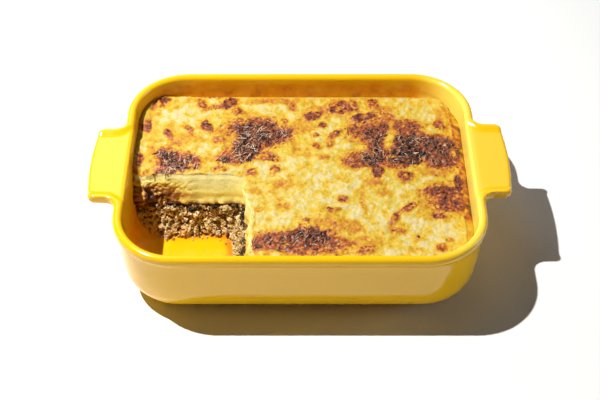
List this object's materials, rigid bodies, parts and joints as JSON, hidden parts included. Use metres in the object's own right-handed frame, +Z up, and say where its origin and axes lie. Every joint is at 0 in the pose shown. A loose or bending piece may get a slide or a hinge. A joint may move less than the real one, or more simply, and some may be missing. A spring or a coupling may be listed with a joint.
{
  "type": "cottage pie in a baking dish",
  "caption": "Cottage pie in a rectangular glazed baking dish with a tab handle at each short side; browned cheese crust, one portion cut out at a front corner showing mash and mince.",
  "frame": {"origin": "on the underside of the dish, below the middle of its overall size", "axes": "+X along the dish towards the handle at the right, +Y to the back, away from the cut-out portion, +Z up"},
  "size_m": [0.2994, 0.192, 0.066],
  "materials": {
    "dish": "glossy yellow glaze",
    "mince": "moist cooked mince, brown crumbs with a little orange fat",
    "potato": "pale yellow mash under a melted cheese crust with dark browned patches"
  },
  "bodies": {
    "root": {"baking_dish": "dish", "mince_layer": "mince", "potato_layer": "potato"}
  },
  "joints": []
}
